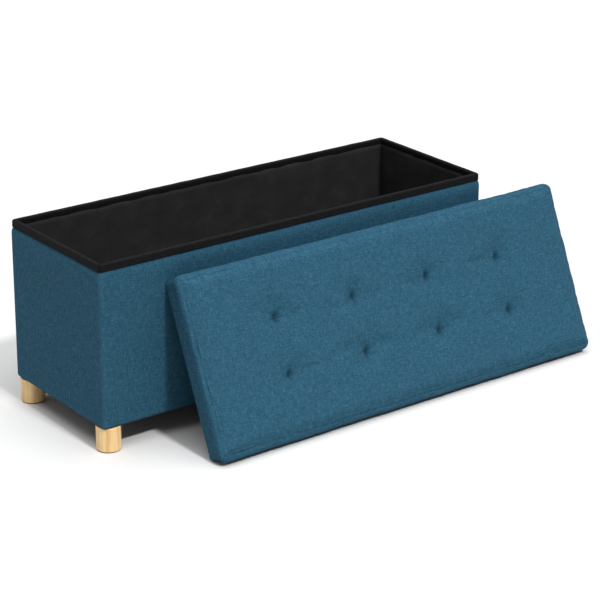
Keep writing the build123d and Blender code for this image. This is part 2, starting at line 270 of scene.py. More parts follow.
def nonwoven_look():
    """Black non-woven lining, embossed all over with small staggered dots."""
    look = Look("nonwoven", woven=True)
    pressed = look.remap(look.cells((420, 420, 1)), 0.10, 0.42, 0.0, 1.0)
    fibres = look.noise((900, 260, 1), 4, 0.7)
    colour = look.ramp(
        look.blend((fibres, 0.5), (look.noise(22, 4), 0.5)),
        (0.30, 0.0088, 0.0088, 0.0093),
        (0.52, 0.0158, 0.0158, 0.0166),
        (0.70, 0.0280, 0.0280, 0.0292),
    )
    colour = look.marked(colour, 0.6, (0.003, 0.003, 0.0035), 0.25, (0.040, 0.040, 0.043))
    normal = look.bump(fibres, 0.25 * MM, 0.5)
    return look.finish(
        Base_Color=colour,
        Roughness=look.remap(pressed, 0, 1, 0.62, 0.86),
        Specular_IOR_Level=0.22,
        Sheen_Weight=0.02,
        Normal=look.bump(pressed, 0.30 * MM, 0.5, normal),
    )


def binding_look():
    """Matte black woven tape with a fine rib across it."""
    look = Look("binding", woven=True)
    height = plain_weave(look, 0.7 * MM)
    ribs = look.math("ABSOLUTE", look.waves(MM)[0])
    streaks = look.noise((60, 900, 1), 3)
    colour = look.ramp(
        streaks,
        (0.32, 0.0034, 0.0035, 0.0040),
        (0.52, 0.0054, 0.0056, 0.0064),
        (0.70, 0.0092, 0.0095, 0.0108),
    )
    # the wear tint lightens the very top of the rim: rubbing wear and a painted highlight
    colour = look.tinted(colour, look.attribute("wear"), 0.4, (0.020, 0.020, 0.021))
    return look.finish(
        # the seam tint darkens the mitres and the stitch line, and paints a shadow along the binding's lower
        # edge
        Base_Color=look.tinted(colour, look.attribute("seam"), 0.7, (0.003, 0.003, 0.0035)),
        Roughness=look.remap(streaks, 0.3, 0.7, 0.86, 0.72),
        Specular_IOR_Level=0.09,
        Sheen_Weight=0.01,
        Normal=look.bump(look.math("ADD", height, ribs), 0.22 * MM, 0.6),
    )


def board_look():
    """Medium-density fibreboard: fine fibres pressed flat, with a few darker flecks."""
    look = Look("board")
    fibres = look.noise((420, 420, 1500), 5, 0.7)
    flecks = look.remap(look.noise(900), 0.66, 0.74, 0, 1)
    colour = look.ramp(
        look.blend((fibres, 0.65), (look.noise(14, 3), 0.35)),
        (0.32, 0.270, 0.165, 0.085),
        (0.52, 0.380, 0.250, 0.140),
        (0.72, 0.480, 0.335, 0.200),
    )
    return look.finish(
        Base_Color=look.mix(flecks, colour, (0.120, 0.070, 0.035, 1)),
        Roughness=look.remap(fibres, 0.3, 0.7, 0.92, 0.74),
        Specular_IOR_Level=0.3,
        Normal=look.bump(fibres, 0.2 * MM, 0.5),
    )


def leg_wood_look():
    """Pale lacquered hardwood with an upright grain, small pores and a few warmer bands."""
    look = Look("leg_wood")
    bands = look.noise((95, 95, 5), 3, 0.55, bend=0.35)
    grain = look.noise((520, 520, 22), 4, 0.6)
    pores = look.remap(look.noise((1500, 1500, 75)), 0.66, 0.76, 0, 1)
    colour = look.ramp(
        look.blend((bands, 0.7), (grain, 0.3)),
        (0.33, 0.620, 0.355, 0.132),
        (0.46, 0.775, 0.495, 0.207),
        (0.56, 0.870, 0.610, 0.285),
        (0.70, 0.930, 0.715, 0.390),
    )
    return look.finish(
        Base_Color=look.tinted(colour, pores, 0.4, (0.330, 0.165, 0.060)),
        Roughness=look.remap(grain, 0.3, 0.7, 0.50, 0.36),
        Specular_IOR_Level=0.45,
        Coat_Weight=0.25,
        Coat_Roughness=0.28,
        Normal=look.bump(pores, 0.10 * MM, -0.5, look.bump(grain, 0.12 * MM, 0.35)),
    )


def black_steel_look():
    """Powder-coated steel: an orange-peel film with a few rubbed spots."""
    look = Look("black_steel")
    peel = look.noise(1600)
    rubbed = look.remap(look.noise(120, 5, 0.7), 0.62, 0.74, 0, 1)
    colour = look.ramp(peel, (0.3, 0.013, 0.013, 0.014), (0.7, 0.026, 0.026, 0.028))
    return look.finish(
        Base_Color=look.tinted(colour, rubbed, 0.5, (0.075, 0.075, 0.078)),
        Metallic=0.2,
        Roughness=look.remap(rubbed, 0, 1, 0.46, 0.32),
        Normal=look.bump(peel, 0.12 * MM, 0.5),
    )


def zinc_steel_look():
    """Zinc-plated steel with drawing marks and a slightly cloudy film."""
    look = Look("zinc_steel")
    drawn = look.noise((2500, 2500, 160), 3)
    cloud = look.noise(260, 4, 0.65)
    colour = look.ramp(cloud, (0.3, 0.44, 0.44, 0.43), (0.55, 0.60, 0.60, 0.62), (0.75, 0.70, 0.69, 0.66))
    return look.finish(
        Base_Color=colour,
        Metallic=1.0,
        Roughness=look.remap(cloud, 0.3, 0.7, 0.46, 0.28),
        Normal=look.bump(drawn, 0.08 * MM, 0.4),
    )


def felt_look():
    """Dark brown pressed felt, with matted fibres."""
    look = Look("felt")
    fibres = look.noise(1400, 6, 0.75, bend=1.2)
    tone = look.blend((fibres, 0.5), (look.noise(240, 4, 0.6), 0.5))
    return look.finish(
        Base_Color=look.ramp(
            tone, (0.33, 0.035, 0.026, 0.020), (0.52, 0.070, 0.055, 0.045), (0.70, 0.125, 0.100, 0.082)
        ),
        Roughness=look.remap(fibres, 0.3, 0.7, 0.98, 0.86),
        Sheen_Weight=0.2,
        Normal=look.bump(fibres, 0.5 * MM, 0.7),
    )


def foam_look():
    """Cream open-cell foam, a little yellower where the air reaches it."""
    look = Look("foam")
    pores = look.cells(900)
    tone = look.blend((pores, 0.35), (look.noise(12, 4), 0.65))
    return look.finish(
        Base_Color=look.ramp(
            tone, (0.25, 0.700, 0.610, 0.390), (0.48, 0.820, 0.755, 0.560), (0.70, 0.880, 0.835, 0.680)
        ),
        Roughness=look.remap(pores, 0.1, 0.6, 0.98, 0.86),
        Normal=look.bump(pores, 0.6 * MM, 0.6),
    )


def thread_look(name, dark, middle, light):
    """Twisted sewing thread."""
    look = Look(name)
    twist = look.noise((2600, 2600, 2600))
    tone = look.blend((twist, 0.5), (look.noise(190, 3), 0.5))
    return look.finish(
        Base_Color=look.ramp(tone, (0.35, *dark), (0.5, *middle), (0.68, *light)),
        Roughness=look.remap(twist, 0.3, 0.7, 0.85, 0.7),
        Specular_IOR_Level=0.15,
        Sheen_Weight=0.02,
        Normal=look.bump(twist, 0.2 * MM, 0.6),
    )


def washer_look():
    """Black moulded plastic with a fine spark-eroded grain."""
    look = Look("washer_plastic")
    grain = look.noise(2200, 3)
    flow = look.noise((40, 160, 40), 3)
    return look.finish(
        Base_Color=look.ramp(flow, (0.3, 0.036, 0.036, 0.038), (0.7, 0.066, 0.066, 0.068)),
        Roughness=look.remap(grain, 0.3, 0.7, 0.58, 0.42),
        Normal=look.bump(grain, 0.08 * MM, 0.5),
    )


def floor_look():
    """A plain white studio floor."""
    look = Look("studio_floor")
    haze = look.noise(0.8, 3)
    return look.finish(
        Base_Color=look.ramp(haze, (0.3, 0.66, 0.66, 0.662), (0.7, 0.675, 0.675, 0.675)),
        Roughness=0.9,
        Specular_IOR_Level=0.05,
    )


BLUE_THREAD = ((0.005, 0.018, 0.030), (0.008, 0.028, 0.046), (0.014, 0.044, 0.066))
BLACK_THREAD = ((0.007, 0.007, 0.008), (0.014, 0.014, 0.015), (0.028, 0.028, 0.030))
MATERIALS = {
    "linen": linen_look(),
    "nonwoven": nonwoven_look(),
    "binding": binding_look(),
    "board": board_look(),
    "leg_wood": leg_wood_look(),
    "black_steel": black_steel_look(),
    "zinc_steel": zinc_steel_look(),
    "felt": felt_look(),
    "foam": foam_look(),
    "thread": thread_look("thread", *BLUE_THREAD),
    "black_thread": thread_look("black_thread", *BLACK_THREAD),
    "washer_plastic": washer_look(),
}


# ---- Mesh helpers ----
def ripples(seed, u, v, size, waves=9):
    """Smooth random waves over a surface, about -1 to 1, with humps about size metres across."""
    rng = np.random.default_rng(seed)
    total = np.zeros(np.broadcast(u, v).shape)
    for _ in range(waves):
        angle, phase = rng.uniform(0, math.pi), rng.uniform(0, FULL_TURN)
        number = math.pi / (size * rng.uniform(0.7, 1.7))
        total += np.sin((u * math.cos(angle) + v * math.sin(angle)) * number + phase)
    return total / math.sqrt(waves * 2)


def bell(distance, width):
    """1 at no distance, falling smoothly to nearly 0 at twice the width."""
    return np.exp(-((distance / width) ** 2))


def unit(vectors):
    length = np.linalg.norm(vectors, axis=-1, keepdims=True)
    return vectors / np.maximum(length, 1e-12)


def face_normals(points):
    """Unit normals of a rows x columns grid: columns x rows."""
    down = np.gradient(points, axis=0)
    across = np.gradient(points, axis=1)
    return unit(np.cross(across, down))


def build(name, vertices, faces, place, material, weave=None, marks=None):
    """A mesh object from arrays, with its cloth coordinates and its named marks."""
    mesh = bpy.data.meshes.new(name)
    mesh.from_pydata([tuple(v) for v in vertices], [], [tuple(f) for f in faces])
    mesh.polygons.foreach_set("use_smooth", [True] * len(mesh.polygons))
    if weave is not None:
        corners = np.zeros(len(mesh.loops), np.int32)
        mesh.loops.foreach_get("vertex_index", corners)
        layer = mesh.uv_layers.new(name="weave")
        layer.data.foreach_set("uv", np.asarray(weave, np.float32)[corners].ravel())
    for key, values in (marks or {}).items():
        attribute = mesh.attributes.new(key, "FLOAT", "POINT")
        attribute.data.foreach_set("value", np.asarray(values, np.float32).ravel())
    mesh.materials.append(material)
    mesh.update()
    piece = bpy.data.objects.new(name, mesh)
    bpy.context.scene.collection.objects.link(piece)
    piece.matrix_world = place
    return piece


def mesh_points(node):
    """A mesh object's own vertices, as an array."""
    points = np.zeros(len(node.data.vertices) * 3, np.float32)
    node.data.vertices.foreach_get("co", points)
    return points.reshape(-1, 3)


def rim_loop(rows, columns):
    """Grid indices round the edge of a rows x columns grid, in order."""
    first = [(0, c) for c in range(columns - 1)]
    second = [(r, columns - 1) for r in range(rows - 1)]
    third = [(rows - 1, c) for c in range(columns - 1, 0, -1)]
    fourth = [(r, 0) for r in range(rows - 1, 0, -1)]
    return np.array(first + second + third + fourth)


def grid_faces(rows, columns, keep=None):
    """Quads of a grid, as indices into its flattened points."""
    r, c = np.meshgrid(np.arange(rows - 1), np.arange(columns - 1), indexing="ij")
    a = r * columns + c
    quads = np.stack([a, a + 1, a + 1 + columns, a + columns], axis=-1)
    return quads[keep] if keep is not None else quads.reshape(-1, 4)


def sheet(name, points, weave, place, material, thickness, marks, keep=None):
    """A closed thin cloth: a grid of points for its face, the same set in for its back, and rolled edges.

    keep says which cells of the grid are there, so that a sheet can have holes.
    """
    rows, columns = points.shape[:2]
    outward = face_normals(points)
    front, back = points.reshape(-1, 3), (points - thickness * outward).reshape(-1, 3)
    quads = grid_faces(rows, columns, keep)
    count = rows * columns
    used = np.zeros(count, bool)
    used[quads.ravel()] = True
    edges = np.concatenate([quads[:, [i, (i + 1) % 4]] for i in range(4)])
    seen = {tuple(e) for e in edges}
    border = np.array([e for e in edges if (e[1], e[0]) not in seen])
    along = np.zeros((count, 3))
    for a, b in border:
        along[a] += front[b] - front[a]
        along[b] += front[b] - front[a]
    side = unit(np.cross(along, outward.reshape(-1, 3)))
    order = sorted(set(border.ravel()))
    middle_of = {v: 2 * count + i for i, v in enumerate(order)}
    middles = (front[order] + back[order]) / 2 + 0.35 * thickness * side[order]
    rims = []
    for a, b in border:
        rims.append((b, a, middle_of[a], middle_of[b]))
        rims.append((middle_of[b], middle_of[a], a + count, b + count))
    vertices = np.concatenate([front, back, middles])
    flat_weave = weave.reshape(-1, 2)
    weaves = np.concatenate([flat_weave, flat_weave, flat_weave[order]])
    faces = [tuple(q) for q in quads] + [tuple(q[::-1] + count) for q in quads] + rims
    full = {k: np.concatenate([v.ravel(), v.ravel(), v.ravel()[order]]) for k, v in marks.items()}
    if not used.all():
        kept = np.concatenate([used, used, np.ones(len(middles), bool)])
        new = np.cumsum(kept) - 1
        vertices, weaves = vertices[kept], weaves[kept]
        full = {k: v[kept] for k, v in full.items()}
        faces = [tuple(new[list(f)]) for f in faces]
    return build(name, vertices, faces, place, material, weaves, full)


def add_tube(vertices, faces, middles, side, ups, radii, around):
    """Adds a closed tube round a line of points, with a ring at each, across its side and its up."""
    base, rings = len(vertices), len(middles)
    turns = np.linspace(0, FULL_TURN, around + 1)[:-1]
    for middle, up, radius in zip(middles, ups, radii):
        for angle in turns:
            vertices.append(middle + radius * (side * math.cos(angle) + up * math.sin(angle)))
    for r in range(rings - 1):
        for k in range(around):
            a, b = base + r * around + k, base + r * around + (k + 1) % around
            faces.append((a, b, b + around, a + around))
    faces.append(tuple(base + k for k in range(around))[::-1])
    faces.append(tuple(base + (rings - 1) * around + k for k in range(around)))


def hung_faces(edge, *rings):
    """Faces from a loop of indices down to the next loop, and so on."""
    faces = []
    for ring in rings:
        for i in range(len(edge)):
            j = (i + 1) % len(edge)
            faces.append((edge[j], edge[i], ring[i], ring[j]))
        edge = ring
    return faces


def lines(low, high, stops, fine, coarse, reach):
    """Grid lines between two levels: fine steps near the stops, coarse ones away from them."""
    fractions = np.linspace(low, high, 4001)
    nearest = np.min([np.abs(fractions - s) for s in stops], axis=0)
    share = np.clip(nearest / reach, 0, 1)
    density = 1 / (fine + (coarse - fine) * share * share * (3 - 2 * share))
    total = np.concatenate([[0], np.cumsum((density[1:] + density[:-1]) / 2 * np.diff(fractions))])
    steps = max(2, round(total[-1]))
    return np.interp(np.linspace(0, total[-1], steps + 1), total, fractions)


class Outline:
    """Points round a rectangle with rounded corners, the same ones for every ring drawn round it.

    A ring starts at the middle of the front left corner and goes along the front first.
    """

    def __init__(self, low, high, along_x, along_y, end_bulge=1.0):
        self.low, self.high = np.array(low), np.array(high)
        self.end_bulge = end_bulge
        self.shares = (along_x, along_y, along_x, along_y)

    def ring(self, inset, radius):
        """Points in plan, inset from the outline, with that corner radius of their own.

        A bulge, which is an inset below 0, is smaller at the ends than along the sides.
        """
        inset = np.array([inset * self.end_bulge if inset < 0 else inset, inset])
        x0, y0 = self.low + inset + radius
        x1, y1 = self.high - inset - radius
        centres = np.array([(x0, y0), (x1, y0), (x1, y1), (x0, y1)])
        half = CORNER_TURNS // 2
        quarter = np.linspace(0, math.pi / 2, CORNER_TURNS + 1)

        def out(angles):
            return radius * np.stack([np.cos(angles), np.sin(angles)], axis=-1)

        found = []
        for k in range(4):
            start = 1.25 * math.pi + k * math.pi / 2
            this, following = centres[k], centres[(k + 1) % 4]
            share = np.array(self.shares[k])[1:-1, None]
            if k > 1:
                share = 1 - share[::-1]
            found.append(this + out(start + quarter[: half + 1]))
            found.append(this + out(start + math.pi / 4) + share * (following - this))
            found.append(following + out(start + math.pi / 4 + quarter[:half]))
        return np.concatenate(found)

    def middles(self):
        """Index of each corner's middle, with the loop's length last."""
        half = CORNER_TURNS // 2
        ends = [0]
        for share in self.shares:
            ends.append(ends[-1] + half + 1 + (len(share) - 2) + half)
        return ends

    def side(self, rings, k):
        """One side's columns out of rings, both corner middles included."""
        ends = self.middles()
        closed = np.concatenate([rings, rings[:, :1]], axis=1)
        return closed[:, ends[k] : ends[k + 1] + 1]


def lift_rings(outline, profile, radii):
    """Rings for a profile of (inset, height) points, with one corner radius for each or for all."""
    rings = []
    for (inset, height), radius in zip(profile, np.broadcast_to(radii, len(profile))):
        flat = outline.ring(inset, radius)
        rings.append(np.concatenate([flat, np.full((len(flat), 1), height)], axis=1))
    return np.array(rings)


def each_side(outline, rings, rows=1, columns=1):
    """For each side: its number, its name, its grid of points, their outward normals, and how far along
    the side each point is and how far from its nearer end. A step of -1 turns the rows or columns round."""
    for k, side in enumerate(SIDES):
        points = outline.side(rings, k)[::rows, ::columns]
        u = lengths(points, 1)
        yield k, side, points, face_normals(points), u, np.minimum(u, u[:, -1:] - u)


def lengths(points, axis):
    """Arc length along an axis of a grid of points, from 0."""
    steps = np.linalg.norm(np.diff(points, axis=axis), axis=-1)
    pad = [(0, 0), (0, 0)]
    pad[axis] = (1, 0)
    return np.pad(np.cumsum(steps, axis=axis), pad)


def strip_weave(points, origin=0.0):
    """Cloth coordinates in metres for a strip: along its columns, and up its rows."""
    along = lengths(points, 1).mean(axis=0)
    up = lengths(points, 0).mean(axis=1)
    across, rise = np.meshgrid(along + origin, up)
    return np.stack([across, rise], axis=-1)


def stitch_row(name, path, outward, place, material, pitch, length, radius):
    """Sewing stitches along a path of points: short threads that dip into the cloth at their ends."""
    travelled = lengths(path[None], 1)[0]
    count = int(travelled[-1] / pitch)
    at = (np.arange(count) + 0.5) * travelled[-1] / count
    centre, ahead, lifted = (
        np.stack([np.interp(where, travelled, values[:, i]) for i in range(3)], axis=1)
        for where, values in ((at, path), (at + length / 4, path), (at, outward))
    )
    up = unit(lifted)
    along = unit(ahead - centre)
    side = unit(np.cross(up, along))
    spots = np.linspace(-1, 1, 7)
    width = radius * np.sqrt(np.clip(1 - spots**6, 0.08, 1))
    rise = radius * (0.9 - 1.9 * spots**4)
    vertices, faces = [], []
    for i in range(count):
        middles = [centre[i] + along[i] * spot * length / 2 + up[i] * r for spot, r in zip(spots, rise)]
        add_tube(vertices, faces, middles, side[i], [up[i]] * len(spots), width, 6)
    return build(name, vertices, faces, place, material)


def finish_piece(piece, body, slot, *nodes):
    """Rides a piece on its body and hides the CAD nodes that it stands for; slot is not used."""
    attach(piece, body)
    if nodes:
        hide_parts(*nodes)
    return piece


def cloth(node, body, slot, points, weave, seam, wear, thickness=CLOTH, keep=None, name=None):
    """A cloth piece that stands for a CAD node, with its marks of seams and of wear; the seam marks also hold
    painted shade, and on the rim binding the wear marks also hold a painted highlight.
    """
    marks = {"seam": np.clip(seam, 0, 1), "wear": np.clip(wear, 0, 1)}
    name = name or f"{node}_cloth"
    piece = sheet(name, points, weave, PLACES[body], MATERIALS[slot], thickness, marks, keep)
    return finish_piece(piece, body, slot, node)


# ---- The box ----
def outer_box():
    """Lowest and highest corner of the upholstered box, from its covers and its rim."""
    low = np.minimum.reduce([np.array(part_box(f"{s}_cover")[0]) for s in SIDES])
    high = np.maximum.reduce([np.array(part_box(f"{s}_cover")[1]) for s in SIDES])
    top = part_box("front_rim_binding")[1].z
    return low, high, top


BOX_LOW, BOX_HIGH, RIM_TOP = outer_box()
BAND_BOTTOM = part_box("front_rim_binding")[0].z
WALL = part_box("left_lining")[1].x - BOX_LOW[0]
FLOOR_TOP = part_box("floor_lining")[1].z


def box_outline(step):
    """An outline of the box with its straight parts divided into steps."""
    size = BOX_HIGH - BOX_LOW
    shares = [np.linspace(0, 1, max(3, round(size[i] / step))) for i in (0, 1)]
    return Outline(BOX_LOW[:2], BOX_HIGH[:2], *shares)


def smooth_profile(points, step):
    """A rounded line through a profile's points, divided evenly."""
    points = np.array(points, float)
    travelled = np.concatenate([[0], np.cumsum(np.linalg.norm(np.diff(points, axis=0), axis=1))])
    tangent = np.gradient(points, travelled, axis=0)
    made = [points[0]]
    for i in range(len(points) - 1):
        run = travelled[i + 1] - travelled[i]
        for t in np.linspace(0, 1, max(1, math.ceil(run / step)) + 1)[1:]:
            start = (2 * t**3 - 3 * t**2 + 1) * points[i] + (t**3 - 2 * t**2 + t) * run * tangent[i]
            end = (3 * t**2 - 2 * t**3) * points[i + 1] + (t**3 - t**2) * run * tangent[i + 1]
            made.append(start + end)
    return np.array(made)


def add_box_covers():
    """The woven covers of the four walls, sewn together at the corners and drawn in under the rim binding."""
    outline = box_outline(12 * MM)
    low, top = BOX_LOW[2], BAND_BOTTOM
    hem = [(4.0 * MM, low - 1.0 * MM), (1.6 * MM, low - 2.6 * MM), (-1.0 * MM, low - 2.2 * MM)]
    hem += [(-2.9 * MM, low + 0.6 * MM), (-3.5 * MM, low + 5 * MM)]
    levels = np.linspace(low + 12 * MM, top - 14 * MM, 30)
    wall = [(-3.4 * MM + 1.1 * MM * (z - low) / (top - low), z) for z in levels]
    tuck = [(-1.6 * MM, top - 6.5 * MM), (-0.3 * MM, top - 2.6 * MM), (0.9 * MM, top - 0.6 * MM)]
    tuck += [(1.1 * MM, top + 1.5 * MM), (1.1 * MM, top + 5 * MM)]
    rings = lift_rings(outline, hem + wall + tuck, BOX_CORNER)
    for k, side, points, outward, u, end in each_side(outline, rings):
        v = points[..., 2]
        edge = np.minimum(v - low, top - v).clip(0)
        free = 1 - bell(end, 14 * MM)
        wave = 0.42 * MM * ripples(11 + k, u, v, 0.16) * free * (1 - bell(edge, 12 * MM))
        drawn = 0.35 * MM * ripples(31 + k, u, v * 0.18, 0.020) * bell(top - v, 26 * MM) * free
        tucked = 0.25 * MM * ripples(51 + k, u, v * 0.18, 0.030) * bell(v - low, 20 * MM) * free
        seam = bell(end, 1.3 * MM)
        points = points + (wave + drawn + tucked - 0.45 * MM * seam)[..., None] * outward
        # painted shade: besides the corner seams, the seam mark darkens the turned-under hem at the bottom
        # and the tuck under the rim binding at the top
        seam = seam * 0.3 + bell(v - low + 3 * MM, 3 * MM) * 0.6 + bell(v - top, 2.5 * MM) * 0.9
        wear = bell(end, 5 * MM) * 0.25 + bell(v - low - 4 * MM, 3 * MM) * 0.2
        weave = strip_weave(points, 0.37 * k)
        piece = cloth(f"{side}_cover", "box", "linen", points, weave, seam, wear)


def add_rim_bindings():
    """The black binding folded over the rim, a little proud of the cloth on both sides, and its stitches."""
    outline = box_outline(7 * MM)
    low, top = BAND_BOTTOM, RIM_TOP
    proud, stitched = 0.9 * MM, 4.5 * MM
    inner = WALL + 0.4 * MM
    profile = smooth_profile(
        [
            (0.1 * MM, low + 0.1 * MM),
            (-0.6 * MM, low + 0.0 * MM),
            (-proud, low + 0.9 * MM),
            (-proud, low + 6 * MM),
            (-proud, top - 6 * MM),
            (-0.4 * MM, top - 2.2 * MM),
            (1.6 * MM, top - 0.2 * MM),
            (WALL / 2, top + 0.5 * MM),
            (WALL - 1.8 * MM, top - 0.2 * MM),
            (inner - 0.5 * MM, top - 2.2 * MM),
            (inner, top - 6 * MM),
            (WALL + 0.1 * MM, low + 4 * MM),
            (WALL - 0.5 * MM, low + 0.9 * MM),
            (WALL - 0.9 * MM, low + 0.1 * MM),
        ],
        1.7 * MM,
    )
    radii = np.interp(profile[:, 0], [-proud, WALL / 2, inner], [BOX_CORNER + proud, 4 * MM, 2.4 * MM])
    rings = lift_rings(outline, profile, radii)
    for k, side, points, outward, u, end in each_side(outline, rings):
        travelled = lengths(points, 0)
        sewn = bell(travelled - stitched, 1.0 * MM)
        free = 1 - bell(end, 10 * MM)
        wave = 0.22 * MM * ripples(71 + k, u, travelled, 0.030) * free
        pucker = 0.14 * MM * np.sin(u / STITCH_PITCH * FULL_TURN) * bell(travelled - 2.5 * MM, 3 * MM)
        mitre = bell(end, 0.9 * MM)
        points = points + (wave + pucker - 0.35 * MM * sewn - 0.4 * MM * mitre)[..., None] * outward
        # painted shadow: besides the mitres and the stitch line, the seam mark darkens the binding's lower
        # outer edge where it stands proud of the cloth
        seam = mitre * 0.8 + sewn * 0.5 + bell(travelled, 1.2 * MM) * 0.8
        # lighter along the very top of the rim: rubbing wear and a painted highlight
        wear = bell(points[..., 2] - top - 0.4 * MM, 1.6 * MM) * 0.8 * free
        weave = strip_weave(points, 0.21 * k)
        piece = cloth(f"{side}_rim_binding", "box", "binding", points, weave, seam, wear)
    row = int(np.argmin(np.abs(lengths(rings, 0)[:, 0] - stitched)))
    path = np.concatenate([rings[row], rings[row, :1]])
    outward = unit(np.cross(np.gradient(path, axis=0), np.array([0, 0, 1.0])))
    path = path - 0.25 * MM * outward
    thread = MATERIALS["black_thread"]
    stitches = stitch_row(
        "rim_binding_stitches", path, outward, PLACES["box"], thread, STITCH_PITCH, 2.9 * MM, 0.32 * MM
    )
    finish_piece(stitches, "box", "binding")


def add_box_linings():
    """The black linings of the four walls inside the box."""
    outline = box_outline(14 * MM)
    low, top = FLOOR_TOP, BAND_BOTTOM + 3 * MM
    profile = [(WALL - 0.1 * MM, z) for z in np.linspace(low + 0.2 * MM, top, 30)]
    rings = lift_rings(outline, profile, 2.6 * MM)
    for k, side, points, outward, u, end in each_side(outline, rings, columns=-1):
        v = points[..., 2]
        edge = np.minimum(v - low, top - v)
        free = (1 - bell(end, 25 * MM)) * (1 - bell(edge, 25 * MM))
        wave = (0.55 * MM * ripples(91 + k, u, v, 0.11) + 0.5 * MM) * free
        drawn = 0.4 * MM * ripples(96 + k, u, v * 0.2, 0.028) * bell(top - v, 40 * MM)
        drawn *= 1 - bell(end, 12 * MM)
        points = points + (wave + drawn)[..., None] * outward
        seam = bell(end, 2 * MM) + bell(v - low, 2.5 * MM)
        wear = ripples(99 + k, u, v, 0.05) * 0.3
        weave = strip_weave(points, 0.5 * k)
        piece = cloth(f"{side}_lining", "box", "nonwoven", points, weave, seam, wear)


def add_floor_lining():
    """The black lining on the box's floor."""
    lo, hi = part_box("floor_lining")
    inset = 1.6 * MM
    low, high = np.array(lo)[:2] + inset, np.array(hi)[:2] - inset
    points, weave, end = flat_cloth(low, high, hi.z - 0.3 * MM, 14 * MM)
    u, v = weave[..., 0], weave[..., 1]
    points[..., 2] += (0.35 * MM * ripples(121, u, v, 0.12) + 0.3 * MM) * (1 - bell(end, 16 * MM))
    wear = ripples(122, u, v, 0.07) * 0.35
    seam = bell(end, 3 * MM)
    piece = cloth("floor_lining", "box", "nonwoven", points, weave, seam, wear)


def way_to_edge(x, y, low, high):
    """How far each point of a rectangle is from its nearest edge."""
    return np.minimum(np.minimum(x - low[0], high[0] - x), np.minimum(y - low[1], high[1] - y))


def flat_cloth(low, high, level, step):
    """A level grid of points over a rectangle, its cloth coordinates, and each point's way to the edge."""
    xs, ys = (lines(low[i], high[i], [low[i], high[i]], 2 * MM, step, 0.03) for i in (0, 1))
    x, y = np.meshgrid(xs, ys)
    points = np.stack([x, y, np.full(x.shape, level)], axis=-1)
    return points, np.stack([x, y], axis=-1), way_to_edge(x, y, low, high)


def add_bottom_cloth():
    """The dust cloth under the base board, sagging a little between its staples, and the staples."""
    lo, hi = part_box("bottom_cloth")
    low, high = np.array(lo)[:2] + 1.2 * MM, np.array(hi)[:2] - 1.2 * MM
    corners = [f"{fy}_{fx}" for fy in ("front", "rear") for fx in ("left", "right")]
    plates = [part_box(f"{corner}_leg_plate") for corner in corners]
    legs = [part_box(f"{corner}_leg") for corner in corners]
    hole = 8 * MM
    centres = [((a.x + b.x) / 2, (a.y + b.y) / 2) for a, b in legs]

    def grid_lines(i):
        stops = sorted({round(c[i] + s * hole, 6) for c in centres for s in (-1, 1)})
        return snapped(lines(low[i], high[i], [*stops, low[i], high[i]], 3 * MM, 16 * MM, 0.04), stops)

    xs, ys = grid_lines(0), grid_lines(1)[::-1]
    x, y = np.meshgrid(xs, ys)
    end = way_to_edge(x, y, low, high)
    pressed = np.zeros(x.shape)
    for a, b in plates:
        beside_x = np.maximum(np.maximum(a.x - x, x - b.x), 0)
        beside_y = np.maximum(np.maximum(a.y - y, y - b.y), 0)
        pressed = np.maximum(pressed, bell(np.hypot(beside_x, beside_y), 22 * MM))
    free = (1 - bell(end, 24 * MM)) * (1 - pressed)
    drop = (1.0 * MM + 0.8 * MM * ripples(141, x, y, 0.12) + 0.4 * MM * ripples(142, x, y, 0.05)) * free
    z = lo.z + 0.05 * MM - np.clip(drop, -0.2 * MM, None)
    points = np.stack([x, y, z], axis=-1)
    mid_x, mid_y = (xs[1:] + xs[:-1]) / 2, (ys[1:] + ys[:-1]) / 2
    keep = np.ones((len(ys) - 1, len(xs) - 1), bool)
    for cx, cy in centres:
        keep &= ~((np.abs(mid_x - cx)[None] < hole) & (np.abs(mid_y - cy)[:, None] < hole))
    seam, wear = bell(end, 2.5 * MM) * 0.7, ripples(143, x, y, 0.06) * 0.3
    marked = (np.stack([x, y], axis=-1), seam, wear, THIN_CLOTH, keep, "bottom_cloth_sheet")
    piece = cloth("bottom_cloth", "box", "nonwoven", points, *marked)
    add_cloth_staples(low, high, lo.z)


def snapped(values, stops):
    """Grid lines with the nearest one moved onto each stop."""
    values = values.copy()
    for s in stops:
        values[np.argmin(np.abs(values - s))] = s
    return values


def add_cloth_staples(low, high, level):
    """Staples that hold the dust cloth's edge, clear of the leg plates."""
    inset, clear, spacing, crown, wire = 9 * MM, 90 * MM, 62 * MM, 10 * MM, 0.55 * MM
    places_x, places_y = (
        np.linspace(low[i] + clear, high[i] - clear, round((high[i] - low[i] - 2 * clear) / spacing) + 1)
        for i in (0, 1)
    )
    spots = [(x, y, 0) for y in (low[1] + inset, high[1] - inset) for x in places_x]
    spots += [(x, y, 1) for x in (low[0] + inset, high[0] - inset) for y in places_y]
    vertices, faces = [], []
    arc = np.linspace(0, math.pi / 2, 4)
    path = [(-crown / 2, 2.6 * MM)]
    path += [(-crown / 2 + wire * 1.5 * (1 - math.cos(a)), wire * 1.5 * (1 - math.sin(a))) for a in arc]
    path += [(-x, z) for x, z in path[::-1]]
    rng = np.random.default_rng(5)
    for x, y, turned in spots:
        skew = rng.uniform(-0.12, 0.12) + turned * math.pi / 2
        along = np.array([math.cos(skew), math.sin(skew), 0])
        side = np.array([-math.sin(skew), math.cos(skew), 0])
        middles, ups = [], []
        for i, (s, h) in enumerate(path):
            a, b = path[max(i - 1, 0)], path[min(i + 1, len(path) - 1)]
            t = unit(np.array([b[0] - a[0], b[1] - a[1]]))
            middles.append(np.array([x, y, level - 0.75 * wire]) + along * s + np.array([0, 0, h]))
            ups.append(along * -t[1] + np.array([0, 0, t[0]]))
        add_tube(vertices, faces, middles, side, ups, [wire] * len(path), 8)
    staples = build("bottom_cloth_staples", vertices, faces, PLACES["box"], MATERIALS["zinc_steel"])
    finish_piece(staples, "box", "zinc_steel")


# ---- The lid ----
def node_points(name):
    return mesh_points(frame["nodes"][name]).astype(float)


